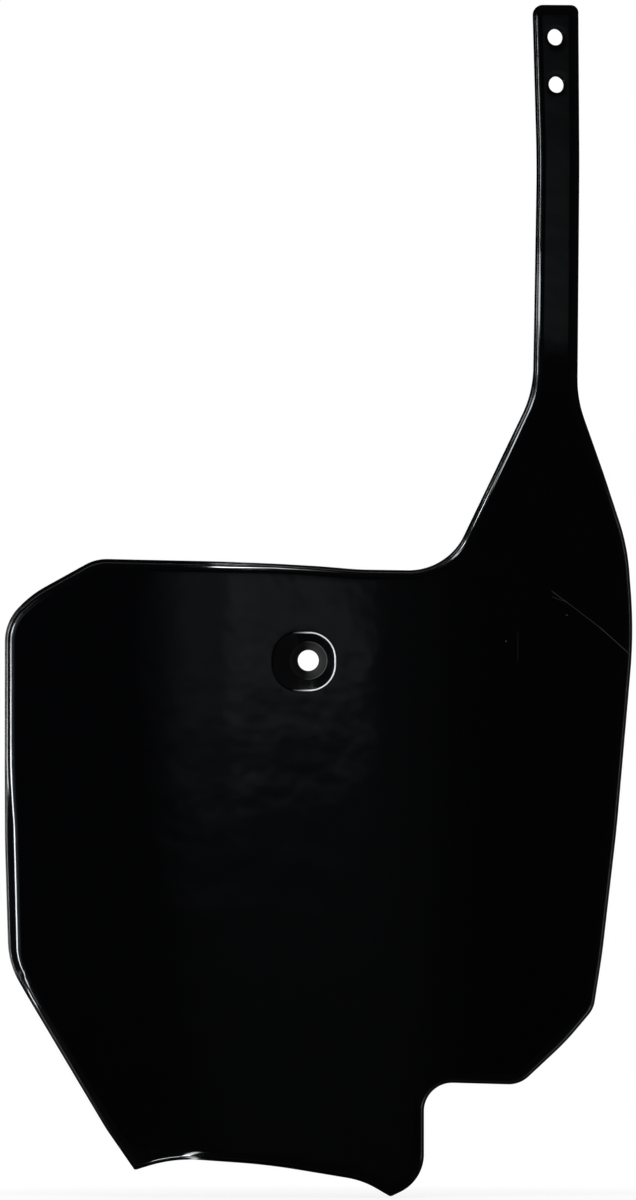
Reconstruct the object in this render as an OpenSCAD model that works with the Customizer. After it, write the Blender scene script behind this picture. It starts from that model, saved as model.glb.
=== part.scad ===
// Racing number board for a motocross bike: one glossy black plastic moulding.
// A flat centre panel carries the number, two wings sweep back from it, and a
// turned lip stiffens the whole edge. One bolt sits in a recess at the origin,
// and a long strap above the right wing takes two more fasteners.
// Front faces -Y, +X is the viewer's right, +Z is up. The origin is the centre of
// the bolt hole on the recess's floor, where the bolt's head seats.

/* [Moulding] */
// Thickness of the wall
wall = 2.2; // [1.6:0.1:3]
// Depth of the turned lip round the board, front to back
lip_depth = 8; // [6:0.5:11]
// Depth of the turned lip along the strap
strap_lip_depth = 4.2; // [3.6:0.1:6]
// Outer radius of the bend between the face and the lip
bend_r = 3; // [2.8:0.1:4]
// Width of the narrow land that ends the lip
land_w = 0.9; // [0.3:0.1:1]
// Thickness of the land at the free edge
land_t = 1.2; // [0.8:0.1:1.6]

/* [Splay of the lip] */
// How far the lip leans out from the face low on the left edge, its widest place
splay_left = 3.5; // [1:0.1:5]
// How far it leans out at the upper end of the left edge
splay_left_top = 1.3; // [1:0.1:4]
// How far it leans out along the left half of the top edge
splay_top = 1.8; // [1:0.1:4]
// How far it leans out along the right edge, the notch and the lower left diagonal
splay_right = 1; // [1:0.1:4]
// How far it leans out along the bottom edge
splay_bottom = 1.7; // [1:0.1:4]
// How far it leans out along the strap
splay_strap = 1.4; // [1:0.1:2]

/* [Sweep of the wings] */
// Distance from the bolt hole to the middle of each fold
fold_x = 45; // [40:1:52]
// Angle by which each wing sweeps back
wing_sweep = 16; // [4:1:24]
// Radius of the soft fold between the centre panel and a wing
fold_r = 150; // [60:5:160]

/* [Body outline] */
// Distance from the bolt hole to the left edge
left_reach = 116.4; // [105:0.1:130]
// Distance from the bolt hole to the furthest point of the right edge
right_reach = 124.7; // [120:0.1:135]
// Height of the top edge above the bolt hole at its left end
top_left_h = 38.9; // [34:0.1:48]
// Height of the top edge at the foot of the strap's shoulder
top_right_h = 34.6; // [30:0.1:44]
// Width of the sloping corner at the top left
corner_cut_w = 35.1; // [30:0.1:45]
// Height of the left edge's upper end above the bolt hole
left_top_h = 15.4; // [5:0.1:20]
// Depth of the left edge's lower end below the bolt hole
left_drop = 116.1; // [95:0.1:125]
// Depth of the left tip of the tail below the bolt hole
tail_left_drop = 194.9; // [180:0.1:205]
// Distance of the left tip of the tail to the left of the bolt hole
tail_left_x = 66.4; // [58:0.1:80]
// Depth of the right tip of the tail below the bolt hole
tail_right_drop = 204.9; // [196:0.1:215]
// Distance of the right tip of the tail to the right of the bolt hole
tail_right_x = 31.4; // [24:0.1:34]
// Depth of the highest point of the tail's arched lower edge
tail_arch_drop = 190.5; // [184:0.1:193]

/* [Notch and right foot] */
// Distance of the notch's upright side from the bolt hole
notch_x = 44.2; // [41:0.1:50]
// Depth of the notch's roof below the bolt hole
notch_drop = 161.1; // [140:0.1:170]
// Radius of the notch's inner corner
notch_r = 10.8; // [6:0.1:14]
// Distance of the right foot's lower corner from the bolt hole
foot_x = 80.9; // [75:0.1:88]
// Distance of the right foot's outer corner from the bolt hole
foot_corner_x = 109.2; // [104:0.1:116]
// Depth of the right foot's outer corner below the bolt hole
foot_corner_drop = 133.4; // [115:0.1:138]

/* [Strap] */
// Height of the strap's end above the bolt hole
strap_top = 251; // [220:0.5:300]
// Distance of the strap's middle line from the bolt hole
strap_x = 94.6; // [90:0.1:97]
// Width of the strap at its end
strap_head_w = 17.7; // [16:0.1:22]
// Width of the strap at its waist
strap_waist_w = 16.4; // [15:0.1:20]
// Height at which the strap grows out of its shoulder
strap_root_h = 101; // [90:0.5:110]
// Height of the shoulder's break at the right edge
shoulder_h = 43.8; // [36:0.1:50]
// Angle by which the strap leans back above its root
strap_lean = 5; // [1:0.5:12]

/* [Holes and recess] */
// Diameter of the bolt hole
bolt_d = 8; // [6:0.1:10]
// Depth of the recess round the bolt hole
recess_depth = 4.5; // [3:0.1:5.5]
// Diameter of the recess's flat floor
recess_floor_d = 15.4; // [13:0.1:16]
// Thickness of the recess's floor
recess_floor_t = 3; // [2:0.1:3.5]
// Width of the recess's mouth
recess_mouth_w = 24; // [21:0.1:26]
// Height of the recess's mouth
recess_mouth_h = 22.2; // [21:0.1:24]
// Diameter of the two strap holes
strap_hole_d = 6.3; // [5:0.1:7]
// Distance from the strap's end to the upper hole
strap_hole_edge = 12.4; // [9:0.1:20]
// Distance between the two strap holes
strap_hole_pitch = 18.2; // [12:0.1:25]

/* [Hidden] */

// Largest distance between an arc and the straight steps that stand for it
arc_tol = 0.05;
// Angle that one strip of a fold turns
fold_step = 1.6;
// Steps across the bend of the lip, outside and inside
bend_steps = 5;
inner_bend_steps = 2;
inner_bend_r = bend_r - wall;
// Rise of the land's front side for each unit of its width
land_slope = 0.4;

// Folds: x positions where the face starts and stops turning
fold_half = fold_r * tan(wing_sweep / 2);
fold_start = fold_x - fold_half;
fold_end = fold_start + fold_r * sin(wing_sweep);
fold_strips = ceil(wing_sweep / fold_step);
fold_angles = [for (k = [0 : fold_strips]) wing_sweep * k / fold_strips];
fold_stations = [
    for (a = fold_angles) [fold_start + fold_r * sin(a), fold_r * (1 - cos(a))]
];
far_x = 400;
far_y = fold_stations[fold_strips][1] + (far_x - fold_end) * tan(wing_sweep);

// Depth of the face behind the plane of the centre panel, by x
sweep_table = concat(
    [[-far_x, far_y]],
    [for (k = [fold_strips : -1 : 0]) [-fold_stations[k][0], fold_stations[k][1]]],
    fold_stations,
    [[far_x, far_y]]
);
x_cuts = [for (k = [1 : len(sweep_table) - 2]) sweep_table[k][0]];

// Lean of the strap: extra depth by z, turning softly above the root
lean_r = 240;
lean_strips = 3;
lean_start = strap_root_h + 7;
lean_angles = [for (k = [0 : lean_strips]) strap_lean * k / lean_strips];
lean_stations = [
    for (a = lean_angles) [lean_start + lean_r * sin(a), lean_r * (1 - cos(a))]
];
far_z = 600;
lean_end = lean_stations[lean_strips];
lean_table = concat(
    [[-far_z, 0]],
    lean_stations,
    [[far_z, lean_end[1] + (far_z - lean_end[0]) * tan(strap_lean)]]
);
z_cuts = [for (s = lean_stations) s[0]];

function face_y(x, z) = lookup(x, sweep_table) + lookup(z, lean_table);

// Places along the strap, its shoulder and the right edge
strap_l = strap_x - strap_head_w / 2;
strap_r = strap_x + strap_head_w / 2;
waist_h = (strap_root_h + strap_top) / 2 + 14;
waist_x = strap_x + 1;
waist_l = waist_x - strap_waist_w / 2;
waist_r = waist_x + strap_waist_w / 2;
root_l = strap_l + 0.1;
root_r = strap_r - 0.5;
mid_shoulder_x = mix(root_r, right_reach, 0.45);
mid_shoulder_h = mix(strap_root_h, shoulder_h, 0.5);
mid_lip_depth = (strap_lip_depth + lip_depth) / 2;
splay_left_mid = mix(splay_left_top, splay_left, 0.05);
splay_left_end = mix(splay_right, splay_left, 0.88);
splay_root = splay_strap + 0.3;
cut_left_x = left_reach - corner_cut_w;
right_low_x = (right_reach + foot_corner_x) / 2 + 1.1;
right_low_h = -foot_corner_drop / 2 + 2;

// Corners of the outline, clockwise from the strap's end as seen from the front:
// x, z, corner radius, splay of the lip, depth of the lip. A corner with a large
// radius is a long soft curve between two nearly straight stretches.
corners = [
    [strap_l, strap_top, 4, splay_strap, strap_lip_depth],
    [strap_r, strap_top, 3, splay_strap, strap_lip_depth],
    [waist_r, waist_h, 900, splay_strap, strap_lip_depth],
    [root_r, strap_root_h - 1.1, 45, splay_strap, strap_lip_depth],
    [mid_shoulder_x, mid_shoulder_h, 300, splay_right, mid_lip_depth],
    [right_reach - 2.5, shoulder_h, 80, splay_right, lip_depth],
    [right_reach, shoulder_h - 33.1, 190, splay_right, lip_depth],
    [right_low_x, right_low_h, 500, splay_right, lip_depth],
    [foot_corner_x + 3.3, -foot_corner_drop + 20.9, 250, splay_right, lip_depth],
    [foot_corner_x, -foot_corner_drop, 10, splay_right, lip_depth],
    [foot_corner_x - 10.6, -foot_corner_drop - 12.5, 100, splay_right, lip_depth],
    [foot_x, -notch_drop - 1.2, 11, splay_right, lip_depth],
    [notch_x, -notch_drop, notch_r, splay_right, lip_depth],
    [notch_x, -tail_right_drop + 6.1, 16, splay_right, lip_depth],
    [tail_right_x, -tail_right_drop, 1.5, splay_right, lip_depth],
    [tail_right_x - 10.7, -tail_right_drop + 6.2, 33, splay_bottom, lip_depth],
    [-15.4, -tail_arch_drop - 2.2, 250, splay_bottom, lip_depth],
    [-51.5, -tail_arch_drop + 0.3, 55, splay_bottom, lip_depth],
    [-tail_left_x, -tail_left_drop, 1, splay_bottom, lip_depth],
    [-tail_left_x - 11, -tail_left_drop + 15.8, 60, splay_right, lip_depth],
    [-left_reach + 8.95, -left_drop - 12.7, 300, splay_right, lip_depth],
    [-left_reach + 1.6, -left_drop, 32, splay_left_end, lip_depth],
    [-left_reach + 0.2, -left_drop + 46.1, 500, splay_left, lip_depth],
    [-left_reach + 0.1, -left_drop + 76, 500, splay_left_mid, lip_depth],
    [-left_reach + 0.2, left_top_h - 0.6, 18.6, splay_left_top, lip_depth],
    [-left_reach + 10.3, left_top_h + 9.8, 41, splay_top, lip_depth],
    [-cut_left_x, top_left_h, 17, splay_top, lip_depth],
    [-32, top_left_h - 1.1, 300, splay_top, lip_depth],
    [-12, mix(top_right_h, top_left_h, 0.55), 300, splay_right, lip_depth],
    [4.7, top_right_h + 1.4, 300, splay_right, lip_depth],
    [19, top_right_h + 0.15, 120, splay_right, lip_depth],
    [notch_x + 8.8, top_right_h - 0.35, 23.5, splay_right, lip_depth],
    [root_l, strap_root_h + 1.6, 42, splay_root, strap_lip_depth],
    [waist_l, waist_h, 500, splay_strap, strap_lip_depth],
];

// Vector helpers in the plane of the outline
function unit(v) = v / norm(v);
function inward(d) = [d[1], -d[0]];
function at(list, i) = list[(i + len(list)) % len(list)];
function spot(c) = [c[0], c[1]];
function mix(a, b, t) = a + (b - a) * t;

// Section of the lip. u runs inwards from the silhouette, v backwards from the
// face. The list goes from the front face, over the bend and the land, to the
// back face.
function lip_angle(splay, depth) = atan2(depth - land_t, splay - land_w);
function lip_run(splay, depth) = splay + bend_r * tan(lip_angle(splay, depth) / 2);
function arc_uv(centre, r, a) = [centre[0] - r * sin(a), centre[1] - r * cos(a)];
function lip_section(splay, depth) =
    let (
        a = lip_angle(splay, depth),
        centre = [lip_run(splay, depth), bend_r],
        slide = (wall * cos(a) - land_t) / sin(a),
        inner_u = land_w + wall * sin(a) + slide * cos(a)
    )
    concat(
        [for (k = [0 : bend_steps]) arc_uv(centre, bend_r, a * k / bend_steps)],
        [[land_w, depth - land_t]],
        [[0, depth - land_t + land_w * land_slope]],
        [[0, depth]],
        [[inner_u, depth]],
        [for (k = [inner_bend_steps : -1 : 0])
            arc_uv(centre, inner_bend_r, a * k / inner_bend_steps)]
    );

// Corner i of a loop as a round of given radius, with n steps
function heading(loop, i) = unit(spot(at(loop, i + 1)) - spot(at(loop, i)));
function turn_at(loop, i) =
    let (a = heading(loop, i - 1), b = heading(loop, i))
    atan2(a[0] * b[1] - a[1] * b[0], a * b);
function round_at(loop, i, r, n) =
    let (
        a = heading(loop, i - 1),
        turn = turn_at(loop, i),
        side = turn < 0 ? 1 : -1,
        start = spot(loop[i]) - a * r * tan(abs(turn) / 2),
        centre = start + inward(a) * r * side
    )
    [for (k = [0 : n])
        let (t = turn * k / n, m = inward(a) * side)
        centre - r * [m[0] * cos(t) - m[1] * sin(t), m[0] * sin(t) + m[1] * cos(t)]];

// Each corner's own radius, made smaller only where two neighbouring rounds would
// meet on a side of the loop
function round_run(loop, radii, i) = at(radii, i) * tan(abs(turn_at(loop, i)) / 2);
function side_length(loop, i) = norm(spot(at(loop, i + 1)) - spot(at(loop, i)));
function room_on_side(loop, radii, i) =
    side_length(loop, i) / (round_run(loop, radii, i) + round_run(loop, radii, i + 1));
function fitted(loop, radii) = [
    for (i = [0 : len(loop) - 1])
        let (room = min(room_on_side(loop, radii, i - 1), room_on_side(loop, radii, i)))
        radii[i] * min(1, 0.98 * room)
];
edge_radii = fitted(corners, [for (c = corners) c[2]]);
function round_steps(i) =
    let (step = 2 * acos(1 - arc_tol / edge_radii[i]))
    max(1, ceil(abs(turn_at(corners, i)) / step));

// The same corners moved inwards to where the flat face begins
min_inner_r = 0.8;
function moved_in(i) =
    let (
        c = corners[i],
        a = inward(heading(corners, i - 1)),
        b = inward(heading(corners, i)),
        run = lip_run(c[3], c[4])
    )
    spot(c) + (a + b) * run / (1 + a * b);
face_corners = [for (i = [0 : len(corners) - 1]) moved_in(i)];
face_radii = fitted(face_corners, [
    for (i = [0 : len(corners) - 1])
        let (r = edge_radii[i], run = lip_run(corners[i][3], corners[i][4]))
        turn_at(corners, i) < 0 ? max(r - run, min_inner_r) : r + run
]);

// A face point that all but touches a cut line is put on it
snap = 0.03;
function snap_to(v, cuts) =
    let (hits = [for (c = cuts) if (abs(v - c) < snap) c])
    len(hits) > 0 ? hits[0] : v;
function snapped(p) = [
    snap_to(p[0], x_cuts),
    p[1] > lean_start - snap ? snap_to(p[1], z_cuts) : p[1]
];

// Samples round the edge: silhouette point, face point, splay, depth
corner_samples = [
    for (i = [0 : len(corners) - 1])
        let (
            c = corners[i],
            n = round_steps(i),
            edge = round_at(corners, i, edge_radii[i], n),
            face = round_at(face_corners, i, face_radii[i], n)
        )
        for (k = [0 : n]) [edge[k], snapped(face[k]), c[3], c[4]]
];

// Extra samples where the face point crosses a fold line or a lean line
function crossings(p, q, cuts, axis) = [
    for (c = cuts)
        if ((p[axis] - c) * (q[axis] - c) < 0) (c - p[axis]) / (q[axis] - p[axis])
];
function sorted(v) =
    len(v) < 2 ? v :
    let (
        pivot = v[0],
        low = [for (k = [1 : len(v) - 1]) if (v[k] < pivot) v[k]],
        high = [for (k = [1 : len(v) - 1]) if (v[k] >= pivot) v[k]]
    )
    concat(sorted(low), [pivot], sorted(high));
function strap_cuts(p, q) =
    max(p[1], q[1]) < lean_start ? [] : crossings(p, q, z_cuts, 1);
samples = [
    for (i = [0 : len(corner_samples) - 1])
        let (
            a = corner_samples[i],
            b = at(corner_samples, i + 1),
            steps = concat(crossings(a[1], b[1], x_cuts, 0), strap_cuts(a[1], b[1]))
        )
        for (t = concat([0], sorted(steps))) [for (j = [0 : 3]) mix(a[j], b[j], t)]
];

// Points of the shell, one section for each sample
function section_points(s) =
    let (run = lip_run(s[2], s[3]))
    [for (p = lip_section(s[2], s[3]))
        let (xz = mix(s[0], s[1], p[0] / run))
        [xz[0], face_y(xz[0], xz[1]) + p[1], xz[1]]];
shell_points = [for (s = samples) each section_points(s)];
ring = len(lip_section(splay_left, lip_depth));
count = len(samples);

// The skin round the edge, in triangles
edge_faces = [
    for (i = [0 : count - 1])
        for (j = [0 : ring - 2])
            let (
                a = i * ring + j,
                b = ((i + 1) % count) * ring + j
            )
            each [[a, b + 1, b], [a, a + 1, b + 1]]
];

// The flat stretches of the face, each bounded by two neighbouring cut lines
near = 0.0001;
function between(axis, low, high) = [
    for (i = [0 : count - 1])
        let (p = samples[i][1])
        if (p[axis] > low - near && p[axis] < high + near) i
];
wing_edge = x_cuts[len(x_cuts) - 1];
right_wing = [
    for (i = [0 : count - 1])
        let (p = samples[i][1])
        if (p[0] > wing_edge - near && p[1] < lean_start + near) i
];
strips = concat(
    [between(0, -far_x, x_cuts[0])],
    [for (k = [0 : len(x_cuts) - 2]) between(0, x_cuts[k], x_cuts[k + 1])],
    [right_wing],
    [for (k = [0 : len(z_cuts) - 2]) between(1, z_cuts[k], z_cuts[k + 1])],
    [between(1, z_cuts[len(z_cuts) - 1], far_z)]
);
front_faces = [for (s = strips) [for (i = s) i * ring]];
back_faces = [
    for (s = strips) [for (k = [len(s) - 1 : -1 : 0]) s[k] * ring + ring - 1]
];

// The moulded sheet with its turned lip
module board_shell() {
    polyhedron(shell_points, concat(edge_faces, front_faces, back_faces), convexity = 6);
}

// Outline of the recess, standing in the plane of the panel at depth y
recess_shift = [-1.7, -0.4];
recess_corner_r = 8.6;
recess_wall = wall * 0.8;
module recess_slab(y, grow, thick) {
    straight = [recess_mouth_w, recess_mouth_h] - [1, 1] * 2 * recess_corner_r;
    translate([recess_shift[0], y, recess_shift[1]])
        rotate([90, 0, 0])
            linear_extrude(thick)
                offset(r = recess_corner_r + grow, $fn = 32)
                    square(straight, center = true);
}
module round_slab(y, d, thick) {
    translate([0, y, 0]) rotate([90, 0, 0]) cylinder(h = thick, d = d, $fn = 32);
}

// Cup behind the panel that carries the bolt. It starts inside the panel's wall.
cup_back = recess_depth + recess_floor_t;
module recess_cup() {
    hull() {
        recess_slab(wall * 0.7, recess_wall, wall * 0.3);
        round_slab(cup_back, recess_floor_d + 2 * recess_wall, recess_floor_t / 2);
    }
}

// Hollow of the recess, with a soft shoulder at its mouth
shoulder_w = 1.3;
shoulder_d = 0.85;
cut_over = 1;
skin = 0.01;
lap = 0.1;
module recess_hollow() {
    hull() {
        recess_slab(shoulder_d, 0, cut_over);
        round_slab(recess_depth, recess_floor_d, skin);
    }
    hull() {
        recess_slab(shoulder_d, -lap, skin);
        recess_slab(0, shoulder_w, cut_over);
    }
}

// Places of the two strap holes
upper_hole = [strap_x + 0.1, strap_top - strap_hole_edge];
lower_hole = [strap_x + 0.5, upper_hole[1] - strap_hole_pitch];

// A hole square to the face at a place on the board
hole_reach = 12;
function face_normal(x, z) =
    let (
        d = 0.01,
        sx = (face_y(x + d, z) - face_y(x - d, z)) / (2 * d),
        sz = (face_y(x, z + d) - face_y(x, z - d)) / (2 * d)
    )
    unit([sx, -1, sz]);
module hole_at(p, d) {
    n = face_normal(p[0], p[1]);
    translate([p[0], face_y(p[0], p[1]), p[1]])
        rotate([0, acos(n[2]), atan2(n[1], n[0])])
            cylinder(h = 2 * hole_reach, d = d, center = true, $fn = 48);
}

// The whole board, moved so that the recess's floor lies on the origin's plane
module number_board() {
    color([0.07, 0.07, 0.08])
        translate([0, -recess_depth, 0])
            difference() {
                union() {
                    board_shell();
                    recess_cup();
                }
                recess_hollow();
                hole_at([0, 0], bolt_d);
                hole_at(upper_hole, strap_hole_d);
                hole_at(lower_hole, strap_hole_d);
            }
}

number_board();
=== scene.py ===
# %% [markdown]
# Racing number board: one glossy black plastic moulding for the front of a
# motocross bike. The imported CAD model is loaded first. It fixes the size and the
# place of everything, so this script only adds the looks. All that it makes is in
# metres, in the same frame as the CAD.
# %% Load the fixed frame
import math

import bmesh
import bpy
import numpy as np
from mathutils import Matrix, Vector
from mathutils.geometry import delaunay_2d_cdt


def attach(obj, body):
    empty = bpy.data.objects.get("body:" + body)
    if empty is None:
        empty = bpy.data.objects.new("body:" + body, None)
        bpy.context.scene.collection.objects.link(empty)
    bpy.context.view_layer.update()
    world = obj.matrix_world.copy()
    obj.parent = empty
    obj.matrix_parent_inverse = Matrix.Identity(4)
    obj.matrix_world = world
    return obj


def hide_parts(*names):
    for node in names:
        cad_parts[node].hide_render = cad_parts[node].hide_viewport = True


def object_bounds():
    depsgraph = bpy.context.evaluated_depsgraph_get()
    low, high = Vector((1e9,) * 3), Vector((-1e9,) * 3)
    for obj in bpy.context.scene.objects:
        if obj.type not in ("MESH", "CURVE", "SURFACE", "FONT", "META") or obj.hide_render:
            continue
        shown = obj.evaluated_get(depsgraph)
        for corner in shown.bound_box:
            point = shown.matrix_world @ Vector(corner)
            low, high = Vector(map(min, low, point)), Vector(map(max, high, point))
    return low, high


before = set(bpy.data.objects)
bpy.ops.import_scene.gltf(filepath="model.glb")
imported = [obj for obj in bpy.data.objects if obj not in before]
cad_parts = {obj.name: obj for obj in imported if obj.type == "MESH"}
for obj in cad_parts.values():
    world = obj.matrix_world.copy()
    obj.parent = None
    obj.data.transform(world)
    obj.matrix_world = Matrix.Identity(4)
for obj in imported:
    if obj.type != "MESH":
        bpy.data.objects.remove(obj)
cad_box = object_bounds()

print("CAD box in metres:", [tuple(round(c, 4) for c in corner) for corner in cad_box])

# %% [markdown]
# The camera. The board was photographed square from the front with a long lens,
# so the sides of the moulding hardly show. A camera 10 m away with a very long
# lens gives the same flat view. A closer camera would make the strap, which leans
# back, look smaller than in the photograph.
# %% Camera
MM = 0.001
MM_PER_PIXEL = 0.382
PHOTO_ROWS = 1200
FRAME_HEIGHT = PHOTO_ROWS * MM_PER_PIXEL * MM
VIEW_CENTRE = Vector((3.7, 0, 23.1)) * MM
CAMERA_DISTANCE = 10.0
SENSOR = 36.0


def add_object(name, data):
    """An object that shows the data, linked into the scene."""
    made = bpy.data.objects.new(name, data)
    bpy.context.scene.collection.objects.link(made)
    return made


camera_data = bpy.data.cameras.new("photo_camera")
camera_data.sensor_width = SENSOR
camera_data.lens = SENSOR * CAMERA_DISTANCE / FRAME_HEIGHT
camera_data.clip_end = 10 * CAMERA_DISTANCE
camera = add_object("photo_camera", camera_data)
camera.location = VIEW_CENTRE + Vector((0, -CAMERA_DISTANCE, 0))
camera.rotation_euler = (math.radians(90), 0, 0)
bpy.context.scene.camera = camera
bpy.context.scene.view_settings.view_transform = "Standard"
print("lens in mm:", round(camera_data.lens))

# %% [markdown]
# The shape comes from the same numbers as the CAD source. The CAD solid turns its
# bends in a few flat facets, which is right for a solid but would break the
# reflections of a glossy plastic into stripes. So the skin is made again here
# from the same outline and the same section, with many more points, and it
# replaces the plain solid in the picture.
# %% Sizes of the moulding, in millimetres
WALL = 2.2
BEND_R = 3.0
LAND_W, LAND_T, LAND_SLOPE = 0.9, 1.2, 0.4
FOLD_X, WING_SWEEP, FOLD_LENGTH = 45.0, math.radians(16), 56.0
LEAN_Z, STRAP_LEAN, LEAN_LENGTH = 118.5, math.radians(5), 30.0
RECESS_DEPTH, RECESS_FLOOR_T = 4.5, 3.0
BOLT_R, STRAP_HOLE_R = 4.0, 3.15
# How far the lip splays outwards on each part of the edge
LEFT, LEFT_END, LEFT_MID, LEFT_TOP = 3.5, 3.2, 1.41, 1.3
TOP, RIGHT, BOTTOM, STRAP, ROOT = 1.8, 1.0, 1.7, 1.4, 1.7
# How deep the lip is
DEEP, MIDDLE, SHALLOW = 8.0, 6.1, 4.2
print("the wall is", WALL, "mm thick and the lip up to", DEEP, "mm deep")

# %% [markdown]
# The face of the board is flat in the middle. Each wing sweeps back behind a soft
# fold, and the strap leans back above its root. The CAD solid turns each fold as a
# true arc. A glossy face shows where such an arc starts as a hard line across its
# reflections, so here the slope grows as a smooth step about the same middle line,
# which moves the surface by less than a tenth of a millimetre.
# %% Depth of the face
def soft_fold(distance, length, angle):
    """Depth behind a flat stretch. The fold is as long as length, with its middle
    at a distance of zero."""
    t = np.clip(distance / length + 0.5, 0, 1)
    beyond = np.maximum(distance - length / 2, 0)
    return math.tan(angle) * (length * (t ** 3 - t ** 4 / 2) + beyond)


def face_depth(x, z):
    sweep = soft_fold(np.abs(x) - FOLD_X, FOLD_LENGTH, WING_SWEEP)
    lean = soft_fold(np.asarray(z) - LEAN_Z, LEAN_LENGTH, STRAP_LEAN)
    return sweep + lean - RECESS_DEPTH


print("wing tips lie", round(float(face_depth(120, 0) - face_depth(0, 0)), 1), "mm back")

# %% [markdown]
# The outline, clockwise from the strap's end as seen from the front. Each corner
# has its place, its radius, how far the lip splays out there and how deep the lip
# is. A large radius makes a long soft curve between two nearly straight stretches.
# A traced curve could give the same outline, but its points would say nothing, and
# a corner with a radius is how such a board is drawn.
# %% Corners of the outline
corners = [
    (85.75, 251, 4, STRAP, SHALLOW), (103.45, 251, 3, STRAP, SHALLOW),
    (103.8, 190, 900, STRAP, SHALLOW), (102.95, 99.9, 45, STRAP, SHALLOW),
    (112.74, 72.4, 300, RIGHT, MIDDLE), (122.2, 43.8, 80, RIGHT, DEEP),
    (124.7, 10.7, 190, RIGHT, DEEP), (118.05, -64.7, 500, RIGHT, DEEP),
    (112.5, -112.5, 250, RIGHT, DEEP), (109.2, -133.4, 10, RIGHT, DEEP),
    (98.6, -145.9, 100, RIGHT, DEEP), (80.9, -162.3, 11, RIGHT, DEEP),
    (44.2, -161.1, 10.8, RIGHT, DEEP), (44.2, -198.8, 16, RIGHT, DEEP),
    (31.4, -204.9, 1.5, RIGHT, DEEP), (20.7, -198.7, 33, BOTTOM, DEEP),
    (-15.4, -192.7, 250, BOTTOM, DEEP), (-51.5, -190.2, 55, BOTTOM, DEEP),
    (-66.4, -194.9, 1, BOTTOM, DEEP), (-77.4, -179.1, 60, RIGHT, DEEP),
    (-107.45, -128.8, 300, RIGHT, DEEP), (-114.8, -116.1, 32, LEFT_END, DEEP),
    (-116.2, -70, 500, LEFT, DEEP), (-116.3, -40.1, 500, LEFT_MID, DEEP),
    (-116.2, 14.8, 18.6, LEFT_TOP, DEEP), (-106.1, 25.2, 41, TOP, DEEP),
    (-81.3, 38.9, 17, TOP, DEEP), (-32, 37.8, 300, TOP, DEEP),
    (-12, 36.965, 300, RIGHT, DEEP), (4.7, 36, 300, RIGHT, DEEP),
    (19, 34.75, 120, RIGHT, DEEP), (53, 34.25, 23.5, RIGHT, DEEP),
    (85.85, 102.6, 42, ROOT, SHALLOW), (87.4, 190, 500, STRAP, SHALLOW),
]
print(len(corners), "corners")

# %% [markdown]
# Two loops run round the board: the silhouette, and the line where the flat face
# starts. The second lies further in by the run of the lip, which follows from how
# far the lip splays and how deep it is. A few helpers on closed loops come first.
# A loop is an array of places, and it is worked on as a whole.
# %% Helpers for loops
BEND_STEP = math.radians(3)
SIDE_STEP = 1.5
LEAST_INNER_R = 0.8
ROOM_SHARE = 0.98


def lip_angle(splay, depth):
    return math.atan2(depth - LAND_T, splay - LAND_W)


def lip_run(splay, depth):
    return splay + BEND_R * math.tan(lip_angle(splay, depth) / 2)


def headings(loop):
    """The directions of the stretches before and after each corner."""
    ahead = np.roll(loop, -1, axis=0) - loop
    ahead /= np.linalg.norm(ahead, axis=1)[:, None]
    return np.roll(ahead, 1, axis=0), ahead


def turns(loop):
    before, after = headings(loop)
    cross = before[:, 0] * after[:, 1] - before[:, 1] * after[:, 0]
    return np.arctan2(cross, (before * after).sum(axis=1))


def inward(direction):
    return np.array((direction[1], -direction[0]))


print("the lip runs in by", round(lip_run(LEFT, DEEP), 1), "mm at the left")

# %% [markdown]
# Every corner becomes a true arc. Two neighbouring arcs on a short stretch could
# run into each other, so the radii are first made small enough to fit.
# %% Helpers for round corners
def fitted(loop, radii):
    """Radii made smaller only where two neighbouring rounds would meet."""
    runs_of = radii * np.tan(np.abs(turns(loop)) / 2)
    side = np.linalg.norm(np.roll(loop, -1, axis=0) - loop, axis=1)
    room = side / (runs_of + np.roll(runs_of, -1))
    return radii * np.minimum(1, ROOM_SHARE * np.minimum(room, np.roll(room, 1)))


def round_corner(loop, i, radius, steps):
    """Places along the round of one corner, from its start to its end."""
    before, _ = headings(loop)
    turn = turns(loop)[i]
    side = 1 if turn < 0 else -1
    towards = inward(before[i]) * side
    start = loop[i] - before[i] * radius * math.tan(abs(turn) / 2)
    centre = start + towards * radius
    t = turn * np.linspace(0, 1, steps + 1)
    spoke = np.stack((towards[0] * np.cos(t) - towards[1] * np.sin(t),
                      towards[0] * np.sin(t) + towards[1] * np.cos(t)), axis=1)
    return centre - radius * spoke


edge_loop = np.array([c[:2] for c in corners], float)
edge_turns = turns(edge_loop)
edge_radii = fitted(edge_loop, np.array([c[2] for c in corners], float))
print("sharpest turn:", round(math.degrees(np.abs(edge_turns).max())), "degrees")

# %% [markdown]
# The face line is the silhouette moved inwards. A plain scaling would make the lip
# wide far from the centre and narrow near it, so each corner slides along its own
# bisector by the run of the lip there. Outer corners get tighter and inner corners
# wider, as on any plate with a rim of even width.
# %% Face line
runs = np.array([lip_run(c[3], c[4]) for c in corners])
before, after = headings(edge_loop)
slide = np.array([inward(a) + inward(b) for a, b in zip(before, after)])
slide *= (runs / (1 + (before * after).sum(axis=1)))[:, None]
face_loop = edge_loop + slide
face_radii = np.where(edge_turns > 0, edge_radii + runs,
                      np.maximum(edge_radii - runs, LEAST_INNER_R))
face_radii = fitted(face_loop, face_radii)
print("the face line lies", round(runs.min(), 1), "to", round(runs.max(), 1), "mm further in")

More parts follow.
